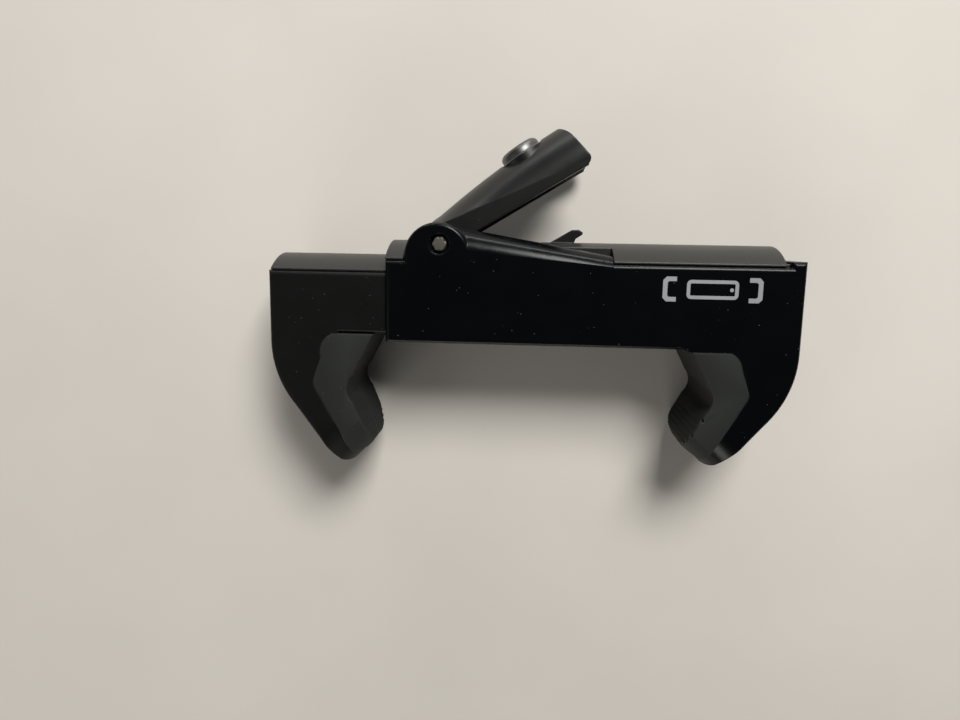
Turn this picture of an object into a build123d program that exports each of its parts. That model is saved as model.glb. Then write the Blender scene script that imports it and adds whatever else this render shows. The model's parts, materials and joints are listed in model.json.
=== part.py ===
"""Spring-loaded phone clamp with a folding tripod arm, as separate pieces.

Frame while modelling, in millimetres: X runs along the body and the sliding jaw opens towards -X,
Y runs from the phone side (Y = 0) to the crowned back, and Z is up through the thickness, with the
clamp lying on one flank at Z = 0. Everything is moved to its final origin at the end.
"""
from build123d import *
from math import cos, sin, radians
import os

# Body
thickness = 19.2
mid_z = thickness / 2
mouth_x = -23.1
end_x = 43.0
flank_top_y = 13.3
crest_y = 16.5
flank_wall = 1.0
floor_wall = 1.1
edge_round = 0.7
end_wall = 2.3
end_wall_top_y = 14.2

# Fit gaps
sliding_gap = 0.2
seam_gap = 0.1

# Sliding jaw
jaw_recess = 1.2
jaw_outer_x = -42.6
jaw_flank_top_y = 11.3
jaw_crest_y = 14.0
slide_end_x = 24.5
slide_wall = 1.5
slide_roof = 1.2
head_hollow_x = -38.5
jaw_travel = 35.0

# Jaw arms and rubber pads, as distances from the middle of the body
tip_depth = 20.4
jaw_bend_y = -0.4
jaw_bend_radius = 17.0
jaw_bend_deg = 39.8
valley_x = 29.9
valley_y = -8.3
pad_tip_x = 26.1
pad_corner_x = 26.2
sliding_pad_corner_x = 25.3
tip_direction_deg = 225.0
tip_reach = -6.6
sliding_tip_extra = 1.4
pad_round_length = 2.8
sliding_pad_round_length = 5.5
pad_top_y = -0.3
sliding_pad_top_y = 1.1

# Back cover
cover_floor_y = 11.8
cover_end_x = 39.9
cover_inset = 0.4
crown_edge = 0.3

# Arm pivot, ears and wings
pivot_x = -14.4
pivot_y = 16.0
ear_x = -14.7
ear_y = 14.0
ear_radius = 5.4
ear_left_x = ear_x - ear_radius
wing_end_x = 13.2
wing_thickness = 2.6
pin_radius = 1.15
pin_end_radius = 1.1
pin_counterbore_radius = 1.65
pin_counterbore_depth = 1.3
washer_radius = 2.9
washer_thickness = 0.3

# Folding arm, in its own frame: pivot at the origin, closed, pointing along +X
arm_open_deg = 34.3
arm_half_width = 6.6
arm_wall = 1.5
arm_root_radius = 3.1
arm_length = 27.4
arm_gap = 0.3

# Tripod socket in the arm
socket_at = 18.8
socket_seat_radius = 4.05
socket_flange_radius = 3.75
socket_body_radius = 3.45
socket_collar_radius = 3.45
socket_hole_radius = 2.6
socket_mouth_radius = 2.72
socket_mouth_depth = 0.12
socket_collar_edge = 0.6
socket_top = 6.55
socket_flange_top = 5.35
socket_bottom = 3.0

# Arm catch in the back cover
catch_left_x = 2.0
catch_right_x = 9.3
catch_half_width = 3.0
catch_fin_half_width = 1.6
catch_ledge_at = 23.5
catch_travel = 1.0
catch_gap = 0.15
catch_plate_thickness = 0.5

# Jaw springs, their anchor pins and the travel stop
spring_radius = 2.0
spring_wire = 0.35
spring_y = 6.4
spring_offset_z = 4.0
fixed_anchor_x = 38.4
moving_anchor_x = -26.0
anchor_pin_radius = 0.8
stop_pin_x = -19.0
stop_pin_radius = 1.0

# End screws, through the end walls of the body and the sliding jaw into thick blocks of their backs
screw_y = 12.2
screw_offset_z = 4.8
screw_radius = 0.75
screw_head_radius = 1.35
screw_head_height = 0.9
screw_recess = 1.1
screw_tip_x = 35.6
jaw_screw_y = 9.2
jaw_screw_tip_x = -35.2
cover_block_x = 34.4
cover_block_y = 10.2


def block(x_low, x_high, y_low, y_high, z_low, z_high):
    """A box given by its limits."""
    size = Box(x_high - x_low, y_high - y_low, z_high - z_low, align=Align.MIN)
    return Pos(x_low, y_low, z_low) * size


def post(x, y, radius, z_low, z_high):
    """A cylinder along Z."""
    return Pos(x, y, z_low) * Cylinder(radius, z_high - z_low, align=(Align.CENTER, Align.CENTER, Align.MIN))


def column(x, z, radius, y_low, y_high):
    """A cylinder along Y."""
    turned = Rot(-90, 0, 0) * Cylinder(radius, y_high - y_low, align=(Align.CENTER, Align.CENTER, Align.MIN))
    return Pos(x, y_low, z) * turned


def rod(y, z, radius, x_low, x_high):
    """A cylinder along X."""
    turned = Rot(0, 90, 0) * Cylinder(radius, x_high - x_low, align=(Align.CENTER, Align.CENTER, Align.MIN))
    return Pos(x_low, y, z) * turned


def crown_bar(x_low, x_high, half_width, y_low, y_side, y_crest):
    """A bar along X whose back is one arc from flank to flank."""
    section_plane = Plane(origin=(x_low, 0, mid_z), x_dir=(0, 0, -1), z_dir=(1, 0, 0))
    sides = Polyline((half_width, y_side), (half_width, y_low), (-half_width, y_low), (-half_width, y_side))
    back = ThreePointArc((-half_width, y_side), (0, y_crest), (half_width, y_side))
    return extrude(section_plane * make_face(sides + back), x_high - x_low)


def jaw_outline(top_y, extra):
    """The curved jaw arm of the fixed side down to its tip, solid under the pad, which is cut out of it."""
    tip_y = -tip_depth - extra
    bend = JernArc((end_x, jaw_bend_y), (0, -1), jaw_bend_radius, -jaw_bend_deg)
    path = Polyline((22.5, 0), (22.5, top_y), (end_x, top_y), (end_x, jaw_bend_y))
    path += [bend, Line(bend @ 1, (32.2, tip_y + 1.0))]
    path += ThreePointArc((32.2, tip_y + 1.0), (31.2, tip_y + 0.15), (30.0, tip_y + 0.3))
    path += Polyline((30.0, tip_y + 0.3), (28.6, tip_y + 1.7), (30.7, -15.4), (33.0, -10.6))
    path += Polyline((33.0, -10.6), (34.6, -7.3), (33.2, -3.0), (31.6, -0.9))
    path += Polyline((31.6, -0.9), (25.6, -0.3), (25.0, 0), (22.5, 0))
    return make_face(path)


def pad_outline(corner_x, top_y, extra):
    """The rubber pad: a V on the phone side, and a back that follows the jaw."""
    nose_y = -16.0 - extra
    path = Polyline((corner_x, top_y), (32.2, top_y))
    path += ThreePointArc((32.2, top_y), (33.5, top_y - 0.9), (34.2, -2.9))
    path += Polyline((34.2, -2.9), (35.3, -6.1))
    path += ThreePointArc((35.3, -6.1), (35.55, -7.1), (35.1, -8.4))
    path += Polyline((35.1, -8.4), (33.7, -11.0), (31.2, -15.4), (29.4, nose_y - 2.2))
    path += ThreePointArc((29.4, nose_y - 2.2), (27.8, nose_y - 2.2), (26.6, nose_y - 1.2))
    slope_low = (pad_tip_x + 0.2, nose_y + 0.6)
    slope_high = (valley_x - 1.0, valley_y - 2.2)
    upper_low = (valley_x - 0.8, valley_y + 2.3)
    path += ThreePointArc((26.6, nose_y - 1.2), (pad_tip_x, nose_y - 0.3), slope_low)
    path += Polyline(slope_low, slope_high)
    path += ThreePointArc(slope_high, (valley_x, valley_y), upper_low)
    path += Polyline(upper_low, (corner_x, top_y))
    return make_face(path)


def tip_envelope(half_width, round_length, reach):
    """Rounds the end of a jaw across its thickness; the flat flanks stop where the round starts."""
    centre = reach - round_length
    bar = Pos(centre - 60, 0, mid_z) * Box(120, 120, 2 * half_width)
    round_end = Rot(90, 0, 0) * extrude(Ellipse(round_length, half_width), 60, both=True)
    return Rot(0, 0, tip_direction_deg) * (bar + Pos(centre, 0, mid_z) * round_end)


def tip_cutter(half_width, round_length, reach):
    """What is cut away from a jaw to round its end."""
    zone = block(20, 50, -30, -2, mid_z - half_width - 1, mid_z + half_width + 1)
    return zone - tip_envelope(half_width, round_length, reach)


def mirrored(shape):
    """The same shape on the other side of the middle of the body."""
    return shape.mirror(Plane.YZ)


def wing_section(x, edge_y, top_y):
    """Section of the near wing: a vertical flank that leans over in an arc to its inner edge."""
    plane = Plane(origin=(x, 0, 0), x_dir=(0, 0, -1), z_dir=(1, 0, 0))
    inner_z = thickness - wing_thickness
    arc_z = thickness - 0.3 * wing_thickness
    arc_y = edge_y + 0.62 * (top_y - edge_y)
    path = Polyline((-inner_z, top_y), (-inner_z, 9.0), (-thickness, 9.0), (-thickness, edge_y))
    path += ThreePointArc((-thickness, edge_y), (-arc_z, arc_y), (-inner_z, top_y))
    return plane * make_face(path)


def make_wing():
    """The sloping wing behind the near ear, on the flank at full thickness."""
    return loft([wing_section(-14.0, 15.4, 19.0), wing_section(wing_end_x, 12.9, 14.5)], ruled=True)


def housing_outline():
    """Flank of the housing: sleeve, fixed jaw, end wall and the pivot ear."""
    sleeve = Pos(mouth_x, 0) * Rectangle(end_x - mouth_x, flank_top_y, align=Align.MIN)
    wall = Pos(end_x - end_wall, 0) * Rectangle(end_wall, end_wall_top_y, align=Align.MIN)
    ear = Pos(ear_x, ear_y) * Circle(ear_radius)
    ear_side = Pos(ear_x - ear_radius, 5.0) * Rectangle(ear_radius, ear_y - 5.0, align=Align.MIN)
    return sleeve + wall + ear + ear_side + jaw_outline(6.0, 0)


def rounded_prism(face, z_low, z_high, radius):
    """A prism along Z whose outer edges are rounded over, away from the pad seat."""
    solid = Pos(0, 0, z_low) * extrude(face, z_high - z_low)
    rims = solid.faces().sort_by(Axis.Z)[0].edges() + solid.faces().sort_by(Axis.Z)[-1].edges()
    outer = [edge for edge in rims if edge.center().Y > -0.05 or abs(edge.center().X) > 34.9]
    return fillet(outer, radius)


def make_housing():
    """Sleeve, fixed jaw, end wall, ears and wings in one moulding, open at the mouth and the back."""
    body = rounded_prism(housing_outline(), 0, thickness, edge_round)
    body -= tip_cutter(mid_z, mid_z, tip_reach)
    near = make_wing()
    body += near + near.mirror(Plane(origin=(0, 0, mid_z), z_dir=(0, 0, 1)))
    inside = block(mouth_x - 1, end_x - end_wall, floor_wall, 30, flank_wall, thickness - flank_wall)
    for z_low in (0, thickness - wing_thickness):
        inside -= block(ear_left_x, wing_end_x, cover_floor_y, 30, z_low, z_low + wing_thickness)
    body -= inside
    for z_low in (-0.1, thickness - pin_counterbore_depth):
        body -= post(pivot_x, pivot_y, pin_counterbore_radius, z_low, z_low + pin_counterbore_depth + 0.1)
    body -= post(pivot_x, pivot_y, pin_radius, 0, thickness)
    body -= post(fixed_anchor_x, spring_y, anchor_pin_radius, 0.5, thickness - 0.5)
    for z in end_screw_heights():
        body -= rod(screw_y, z, screw_radius + 0.1, 38, 50)
        body -= rod(screw_y, z, screw_head_radius + 0.15, end_x - screw_recess, 50)
    body -= column(stop_pin_x, mid_z, stop_pin_radius, -1, floor_wall + 1)
    return body - make_pad(True)


def end_screw_heights():
    """Heights of the two screws in the end wall."""
    return [mid_z - screw_offset_z, mid_z + screw_offset_z]


def cover_crown(y_low):
    """The crowned outer shape of the back cover, down to a given height."""
    y_side = flank_top_y + seam_gap + crown_edge
    return crown_bar(mouth_x, cover_end_x, mid_z - cover_inset, y_low, y_side, crest_y)


def make_back_cover():
    """Crowned cover with room for the arm root, the arm's side walls and the catch."""
    crown = cover_crown(flank_top_y + seam_gap)
    inner_half = mid_z - flank_wall - seam_gap
    tongue = block(mouth_x, end_x - end_wall - seam_gap, cover_floor_y, flank_top_y + 0.5,
                   mid_z - inner_half, mid_z + inner_half)
    cover = crown + tongue
    wing_room = wing_thickness + seam_gap
    for z_low, z_high in ((-1, wing_room), (thickness - wing_room, thickness + 1)):
        cover -= block(ear_left_x - seam_gap, wing_end_x + seam_gap, 0, 30, z_low, z_high)
    cover -= make_arm_room()
    cover -= make_catch_room()
    cover -= block(14.0, cover_block_x - 1.5, 0, crest_y - 2.2, mid_z - 5.0, mid_z + 5.0)
    cover += block(cover_block_x, end_x - end_wall - seam_gap, cover_block_y, flank_top_y,
                   mid_z - screw_offset_z - 2, mid_z + screw_offset_z + 2)
    for z in end_screw_heights():
        cover -= rod(screw_y, z, screw_radius, screw_tip_x - 0.4, 50)
    return cover


def make_arm_room():
    """Hollows in the cover for the arm: a pocket for its root and a channel for each side wall."""
    floor_y = pivot_y - arm_root_radius - arm_gap
    low_z = wing_thickness + seam_gap - 0.01
    room = post(pivot_x, pivot_y, arm_root_radius + 1.9, low_z, thickness - low_z)
    room += block(pivot_x, pivot_x + 5.2, floor_y, 30, low_z, thickness - low_z)
    room &= block(-40, 40, floor_y, 30, 0, thickness)
    channel_depth = mid_z - arm_half_width + arm_wall + arm_gap
    for z_low, z_high in ((low_z, channel_depth), (thickness - channel_depth, thickness - low_z)):
        room += block(pivot_x + 5, wing_end_x + seam_gap, flank_top_y - 0.3, 30, z_low, z_high)
    return room


def catch_outline(grow, left_extra):
    """The catch foot seen from the back: square at the spring end, round at the nose end."""
    half = catch_half_width + grow
    left = catch_left_x - grow - left_extra
    right = catch_right_x + grow
    path = Polyline((right - half, half), (left, half), (left, -half), (right - half, -half))
    path += ThreePointArc((right - half, -half), (right, 0), (right - half, half))
    return make_face(path)


def catch_prism(grow, left_extra, y_low, y_high):
    """The catch foot outline as a prism along Y."""
    plane = Plane(origin=(0, y_low, mid_z), x_dir=(1, 0, 0), z_dir=(0, 1, 0))
    return extrude(plane * catch_outline(grow, left_extra), y_high - y_low)


def make_catch_room():
    """Opening for the catch, its spring pocket and the recess of its retaining plate."""
    room = catch_prism(catch_gap, catch_travel, cover_floor_y - 1, 30)
    room += block(-4.2, catch_left_x - 0.1, cover_floor_y - 1, crest_y - 1.4, mid_z - 1.5, mid_z + 1.5)
    plate_top = cover_floor_y + catch_plate_thickness
    room += block(-6.0, 12.4, cover_floor_y - 1, plate_top, mid_z - 4.4, mid_z + 4.4)
    return room


def make_catch_plate():
    """Thin plate under the catch and its spring, flush with the inside of the cover."""
    y_low = cover_floor_y
    y_high = cover_floor_y + catch_plate_thickness - 0.02
    return block(-5.9, 12.3, y_low, y_high, mid_z - 4.3, mid_z + 4.3)


def make_arm_catch():
    """Hook whose nose points away from the pivot, on a foot that follows the crown of the cover."""
    foot_low = cover_floor_y + catch_plate_thickness + 0.1
    foot = catch_prism(0, 0, foot_low, crest_y)
    foot &= cover_crown(0)
    fin = make_face(Polyline((3.3, crest_y - 1.0), (3.3, crest_y - 0.1), (7.0, crest_y + 2.1),
                             (8.1, crest_y + 2.15), (8.75, crest_y + 1.75), (8.7, crest_y + 1.35),
                             (7.6, crest_y + 0.65), (7.3, crest_y - 0.1), (7.3, crest_y - 1.0), close=True))
    fin_low = mid_z - catch_fin_half_width
    return foot + Pos(0, 0, fin_low) * extrude(fin, 2 * catch_fin_half_width)


def make_catch_spring():
    """Small compression spring behind the catch, as the tube that it fills."""
    y = 0.5 * (cover_floor_y + catch_plate_thickness + crest_y - 1.4)
    tube = Cylinder(1.15, 5.6) - Cylinder(0.75, 5.6)
    return Pos(-1.1, y, mid_z) * (Rot(0, 90, 0) * tube)


def arm_low(u):
    """Height of the arm's lower edge."""
    return -1.2 - 0.054 * u


def arm_crease(u):
    """Height where the arm's flat flank ends and its crown starts."""
    return 2.97 - 0.181 * u


def arm_crest(u):
    """Height of the arm's crest."""
    return 5.4 - 0.0035 * (u - 20) ** 2


def arm_section(u, half_width, low, side, top):
    """Section of the arm across its length: flat flanks under an arc."""
    plane = Plane(origin=(u, 0, 0), x_dir=(0, 0, -1), z_dir=(1, 0, 0))
    path = Polyline((half_width, side), (half_width, low), (-half_width, low), (-half_width, side))
    path += ThreePointArc((-half_width, side), (0, top), (half_width, side))
    return plane * make_face(path)


def make_arm_shell():
    """The arm's outer shape: tapering flanks, a growing crown, a slanted tip and a round root."""
    stations = [2.0, 8.5, 15.0, 21.5, arm_length + 0.6]
    body = loft([arm_section(u, arm_half_width, arm_low(u), arm_crease(u), arm_crest(u)) for u in stations])
    side = Polyline((1.9, 8.0), (1.9, -6.0), (25.6, -6.0), (26.6, -2.45))
    side += ThreePointArc((26.6, -2.45), (27.35, -1.9), (arm_length, -0.9))
    side += Polyline((arm_length, -0.9), (26.9, 3.0))
    side += ThreePointArc((26.9, 3.0), (26.2, 4.7), (24.6, 6.2))
    side += Polyline((24.6, 6.2), (1.9, 8.0))
    width = 4 * arm_half_width
    body &= Pos(0, 0, -width / 2) * extrude(make_face(side), width)
    root = post(0, 0, arm_root_radius, -arm_half_width, arm_half_width)
    nose = Polyline((-2.6, 1.7), (-1.2, 3.4), (0.6, 4.1), (2.1, arm_crest(2.0)), (2.1, arm_low(2.0)),
                    close=True)
    root += outline_of(nose, -arm_half_width, arm_half_width)
    crown = extrude(arm_section(-5.0, arm_half_width, -6.0, arm_crease(2.0), arm_crest(2.0)), 7.1)
    return body + (root & crown)


def outline_of(path, z_low, z_high):
    """A prism between two heights from a closed path."""
    return Pos(0, 0, z_low) * extrude(make_face(path), z_high - z_low)


def make_arm_hollow():
    """The open underside of the arm, with an arched lower edge at its tip."""
    half = arm_half_width - arm_wall
    stations = [4.8, 11.0, 18.0, 25.0]
    hollow = loft([arm_section(u, half, -8.0, arm_crease(u), arm_crest(u) - 1.7) for u in stations])
    arch = arm_section(24.0, half, -8.0, 0.0, crest_y - pivot_y + arm_gap)
    return hollow + extrude(arch, 6.0)


def make_mount_arm():
    """Folding arm: a shell open underneath, solid round the pivot and the tripod socket."""
    arm = make_arm_shell() - make_arm_hollow()
    arm += column(socket_at, 0, socket_body_radius + 1.0, socket_bottom, arm_crest(socket_at) - 0.5)
    arm += block(catch_ledge_at, arm_length - 1.5, 0.9, 1.55, -2.0, 2.0)
    arm -= column(socket_at, 0, socket_seat_radius, socket_flange_top - 1.2, 12)
    arm -= column(socket_at, 0, socket_body_radius, 0, 12)
    arm -= post(0, 0, pin_radius + 0.05, -20, 20)
    return arm


def make_tripod_socket():
    """Flanged metal insert with a raised collar round its threaded hole."""
    socket = column(socket_at, 0, socket_body_radius, socket_bottom, socket_flange_top - 0.3)
    socket += column(socket_at, 0, socket_flange_radius, socket_flange_top - 1.2, socket_flange_top - 0.1)
    collar = column(socket_at, 0, socket_collar_radius, socket_flange_top - 0.5, socket_top)
    socket += chamfer(collar.edges().sort_by(Axis.Y)[-1], socket_collar_edge)
    socket -= column(socket_at, 0, socket_hole_radius, 0, 12)
    mouth = Rot(-90, 0, 0) * Cone(socket_hole_radius, socket_mouth_radius, socket_mouth_depth)
    socket -= Pos(socket_at, socket_top - socket_mouth_depth / 2, 0) * mouth
    return socket


def place_arm(shape):
    """Turns a piece of the arm from its closed frame to its open rest pose on the body."""
    return Pos(pivot_x, pivot_y, mid_z) * Rot(0, 0, arm_open_deg) * shape


def make_pivot_pin():
    """Steel pin through both ears, with a splined end in each counterbore."""
    shoulder_z = pin_counterbore_depth + 0.1
    pin = post(pivot_x, pivot_y, pin_radius - 0.02, shoulder_z, thickness - shoulder_z)
    pin += post(pivot_x, pivot_y, pin_end_radius * 0.82, 0.5, thickness - 0.5)
    for turn in range(6):
        angle = radians(60 * turn)
        lobe_x = pivot_x + 0.66 * pin_end_radius * cos(angle)
        lobe_y = pivot_y + 0.66 * pin_end_radius * sin(angle)
        pin += post(lobe_x, lobe_y, 0.34 * pin_end_radius, 0.5, thickness - 0.5)
    return pin


def make_washer(z_low):
    """Thin washer on the pivot pin, between the arm and one ear."""
    ring = post(pivot_x, pivot_y, washer_radius, z_low, z_low + washer_thickness)
    return ring - post(pivot_x, pivot_y, pin_radius + 0.06, -1, 30)


def make_sliding_jaw():
    """Left jaw with the long hollow slide that runs inside the sleeve."""
    half = mid_z - jaw_recess
    z_low = mid_z - half
    z_high = mid_z + half
    low_y = floor_wall + sliding_gap
    head_face = Pos(jaw_outer_x + end_x, 0) * mirrored(jaw_outline(jaw_flank_top_y, sliding_tip_extra))
    head_face -= Pos(-31.0, -1.0) * Rectangle(20, low_y + 1.0, align=Align.MIN)
    slide_face = Pos(-31.5, low_y) * Rectangle(31.5 + slide_end_x, jaw_flank_top_y - low_y, align=Align.MIN)
    jaw = rounded_prism(head_face + slide_face, z_low, z_high, edge_round)
    jaw -= mirrored(tip_cutter(half, half, tip_reach + sliding_tip_extra))
    hollow_low = low_y + 1.2
    hollow_z = (z_low + slide_wall, z_high - slide_wall)
    jaw -= block(head_hollow_x, slide_end_x + 1, hollow_low, jaw_flank_top_y - slide_roof, *hollow_z)
    jaw -= block(head_hollow_x, mouth_x - 1.2, hollow_low, 20, *hollow_z)
    slot_low = stop_pin_x - stop_pin_radius - 0.3
    slot_high = stop_pin_x + jaw_travel + stop_pin_radius + 0.3
    slot_half = stop_pin_radius + 0.2
    jaw -= block(slot_low, slot_high, 0, hollow_low + 0.5, mid_z - slot_half, mid_z + slot_half)
    jaw -= post(moving_anchor_x, spring_y, anchor_pin_radius, z_low + 0.5, z_high - 0.5)
    for z in end_screw_heights():
        jaw -= rod(jaw_screw_y, z, screw_radius + 0.1, jaw_outer_x - 1, head_hollow_x + 0.5)
        jaw -= rod(jaw_screw_y, z, screw_head_radius + 0.15, jaw_outer_x - 1, jaw_outer_x + screw_recess)
    return jaw - make_pad(False)


def make_jaw_back():
    """Crowned back of the sliding jaw, with a lid that drops into the hollow of the jaw."""
    half = mid_z - jaw_recess
    seat_y = jaw_flank_top_y + 0.05
    crown = crown_bar(jaw_outer_x + 0.4, mouth_x - seam_gap, half - 0.3,
                      seat_y, seat_y + crown_edge, jaw_crest_y)
    lid_half = half - slide_wall - 0.05
    lid = block(head_hollow_x + 0.1, mouth_x - 1.3, jaw_flank_top_y - 1.5, jaw_flank_top_y + 0.3,
                mid_z - lid_half, mid_z + lid_half)
    lid += block(head_hollow_x + 0.1, jaw_screw_tip_x + 0.8, jaw_screw_y - 1.3, jaw_flank_top_y - 0.5,
                 mid_z - lid_half, mid_z + lid_half)
    back = crown + lid
    for z in end_screw_heights():
        back -= rod(jaw_screw_y, z, screw_radius, head_hollow_x - 1, jaw_screw_tip_x + 0.3)
    return back


def cross_head_screw(y, z, head_x, inward, shank_length):
    """A small screw along X with a cross recess; inward is the sense of X that it points in."""
    shank_end = head_x + inward * (shank_length + 0.2)
    head_top = head_x - inward * screw_head_height
    floor_x = head_x - inward * 0.35
    screw = rod(y, z, screw_radius - 0.01, min(shank_end, head_x), max(shank_end, head_x))
    screw += rod(y, z, screw_head_radius, min(head_top, head_x), max(head_top, head_x))
    low = min(floor_x, head_top)
    high = max(floor_x, head_top)
    screw -= block(low, high, y - 0.9, y + 0.9, z - 0.16, z + 0.16)
    return screw - block(low, high, y - 0.16, y + 0.16, z - 0.9, z + 0.9)


def make_jaw_back_screws():
    """The two screws through the outer end of the sliding jaw into its crowned back, one group."""
    head_x = jaw_outer_x + screw_recess
    length = jaw_screw_tip_x - head_x
    screws = [cross_head_screw(jaw_screw_y, z, head_x, 1, length) for z in end_screw_heights()]
    return Compound(children=screws)


def make_end_screws():
    """The two screws through the end wall into the back cover, one group."""
    head_x = end_x - screw_recess
    length = head_x - screw_tip_x
    screws = [cross_head_screw(screw_y, z, head_x, -1, length) for z in end_screw_heights()]
    return Compound(children=screws)


def make_pad(fixed):
    """Rubber pad with a V across the phone's edge, rounded at the tip like its jaw."""
    if fixed:
        face = pad_outline(pad_corner_x, pad_top_y, 0.0)
        return extrude(face, thickness) - tip_cutter(mid_z, pad_round_length, tip_reach)
    half = mid_z - jaw_recess
    face = mirrored(pad_outline(sliding_pad_corner_x, sliding_pad_top_y, sliding_tip_extra))
    pad = Pos(0, 0, mid_z - half) * extrude(face, 2 * half)
    return pad - mirrored(tip_cutter(half, sliding_pad_round_length, tip_reach + sliding_tip_extra))


def make_jaw_spring(z):
    """Extension spring from the jaw's anchor pin to the body's, as the tube that it fills."""
    left = moving_anchor_x + anchor_pin_radius + 0.1
    right = fixed_anchor_x - anchor_pin_radius - 0.1
    tube = Cylinder(spring_radius, right - left) - Cylinder(spring_radius - 2 * spring_wire, right - left)
    return Pos((left + right) / 2, spring_y, z) * (Rot(0, 90, 0) * tube)


def make_anchor_pin(x, z_margin):
    """Cross pin that holds one end of both jaw springs."""
    return post(x, spring_y, anchor_pin_radius, z_margin, thickness - z_margin)


def make_stop_pin():
    """Pin in the floor of the sleeve that ends the jaw's travel in both directions."""
    return column(stop_pin_x, mid_z, stop_pin_radius, 0.15, floor_wall + 1.3)


def build_parts():
    """Every node of the clamp, in the modelling frame."""
    nodes = {
        "housing": make_housing(),
        "back_cover": make_back_cover(),
        "end_screws": make_end_screws(),
        "fixed_jaw_pad": make_pad(True),
        "fixed_anchor_pin": make_anchor_pin(fixed_anchor_x, 0.5),
        "travel_stop_pin": make_stop_pin(),
        "sliding_jaw": make_sliding_jaw(),
        "jaw_back": make_jaw_back(),
        "jaw_back_screws": make_jaw_back_screws(),
        "sliding_jaw_pad": make_pad(False),
        "moving_anchor_pin": make_anchor_pin(moving_anchor_x, jaw_recess + 0.5),
        "jaw_spring_near": make_jaw_spring(mid_z + spring_offset_z),
        "jaw_spring_far": make_jaw_spring(mid_z - spring_offset_z),
        "mount_arm": place_arm(make_mount_arm()),
        "tripod_socket": place_arm(make_tripod_socket()),
        "pivot_pin": make_pivot_pin(),
        "pivot_washer_near": make_washer(thickness - wing_thickness - washer_thickness - 0.05),
        "pivot_washer_far": make_washer(wing_thickness + 0.05),
        "arm_catch": make_arm_catch(),
        "catch_spring": make_catch_spring(),
        "catch_plate": make_catch_plate(),
    }
    return nodes


def final_shift(nodes):
    """Moves the middle of the underside of the whole clamp to the origin."""
    box = Compound(children=[shape.moved(Location()) for shape in nodes.values()]).bounding_box()
    return (-(box.min.X + box.max.X) / 2, -(box.min.Y + box.max.Y) / 2, -box.min.Z)


def main():
    os.makedirs("parts", exist_ok=True)
    nodes = build_parts()
    shift = final_shift(nodes)
    print("shift", shift)
    for name, shape in nodes.items():
        export_step(Pos(*shift) * shape, f"parts/{name}.step")


if __name__ == "__main__":
    main()
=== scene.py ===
"""Looks of a spring-loaded phone clamp with rubber-faced V jaws and a folding tripod arm.

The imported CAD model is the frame: its nodes keep their shape and place and get their finishes here, and the
rubber grips, coil springs, tripod socket and printed mark are modelled round it. Drawing sizes are in
millimetres in the clamp's drawing frame: X along the body, Y from the phone side to the back, Z up.
"""
import json
from math import atan2, ceil, cos, hypot, pi, radians, sin

import bmesh
import bpy
from bpy.props import FloatProperty, FloatVectorProperty, IntProperty, PointerProperty
from mathutils import Euler, Matrix, Vector


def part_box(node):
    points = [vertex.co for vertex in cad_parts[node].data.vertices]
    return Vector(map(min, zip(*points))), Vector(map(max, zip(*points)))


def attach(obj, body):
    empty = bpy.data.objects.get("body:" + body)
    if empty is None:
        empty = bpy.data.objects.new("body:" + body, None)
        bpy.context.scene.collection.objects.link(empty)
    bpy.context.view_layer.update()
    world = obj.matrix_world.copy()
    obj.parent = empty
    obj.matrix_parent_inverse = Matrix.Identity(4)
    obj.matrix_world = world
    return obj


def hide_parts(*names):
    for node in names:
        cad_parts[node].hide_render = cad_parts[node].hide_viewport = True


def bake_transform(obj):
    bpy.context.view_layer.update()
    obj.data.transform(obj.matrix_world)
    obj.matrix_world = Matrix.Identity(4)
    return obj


bl_info = {
    "name": "Phone clamp",
    "version": (1, 0, 0),
    "blender": (4, 5, 0),
    "location": "3D View > Sidebar > Clamp",
    "description": "Finishes and detailed pieces of a phone clamp with a folding tripod arm",
    "category": "Add Mesh",
}

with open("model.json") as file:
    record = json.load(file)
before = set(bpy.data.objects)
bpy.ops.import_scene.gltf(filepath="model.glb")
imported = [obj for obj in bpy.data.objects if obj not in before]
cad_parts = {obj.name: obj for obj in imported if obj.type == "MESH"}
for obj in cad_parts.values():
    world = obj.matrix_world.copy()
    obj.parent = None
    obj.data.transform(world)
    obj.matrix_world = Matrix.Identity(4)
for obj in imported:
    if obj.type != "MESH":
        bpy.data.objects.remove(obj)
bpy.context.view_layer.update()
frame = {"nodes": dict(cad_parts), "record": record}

MM = 0.001
PIVOT_DRAWN = Vector((-14.4, 16.0, 9.6))
DRAWING_ZERO = sum(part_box("pivot_pin"), Vector()) / 2 - PIVOT_DRAWN * MM
ARM_OPEN = radians(34.3)
THICKNESS = 19.2
JAW_RECESS = 1.2
TIP_REACH = -6.6
TIP_EXTRA = 1.4
VALLEY = (29.9, -8.3)
DIMPLES = ((28.4, -11.4, 18.9), (27.0, -14.05, 18.7), (26.45, -15.1, 17.6), (26.2, -15.7, 16.5))
DIMPLE_RADIUS = 0.42
ROWS_PER_RIB = 3
SOCKET_ALONG = 18.8
SOCKET_PROFILE = ((3.2, 3.05), (3.36, 3.01), (3.43, 3.1), (3.43, 4.16), (3.73, 4.18), (3.73, 4.98),
                  (3.6, 5.14), (3.52, 5.18), (3.45, 5.1), (3.42, 5.24), (3.42, 5.78), (3.32, 6.05),
                  (3.12, 6.28), (2.9, 6.45), (2.76, 6.52), (2.67, 6.48), (2.62, 6.32), (2.62, 5.9),
                  (3.2, 5.5))
THREAD_PROFILE = ((3.22, -0.42), (3.22, 0.42), (2.66, 0.08), (2.66, -0.08))
THREAD_START = 3.5
PRINT_HEIGHT = 0.012
DUST_COLOUR = (0.32, 0.31, 0.29, 1.0)
CAMERA_PLACE = (-0.2, 10.42, 137.2)
CAMERA_TURN = (-9.286, 3.815, 0.990)


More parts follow.
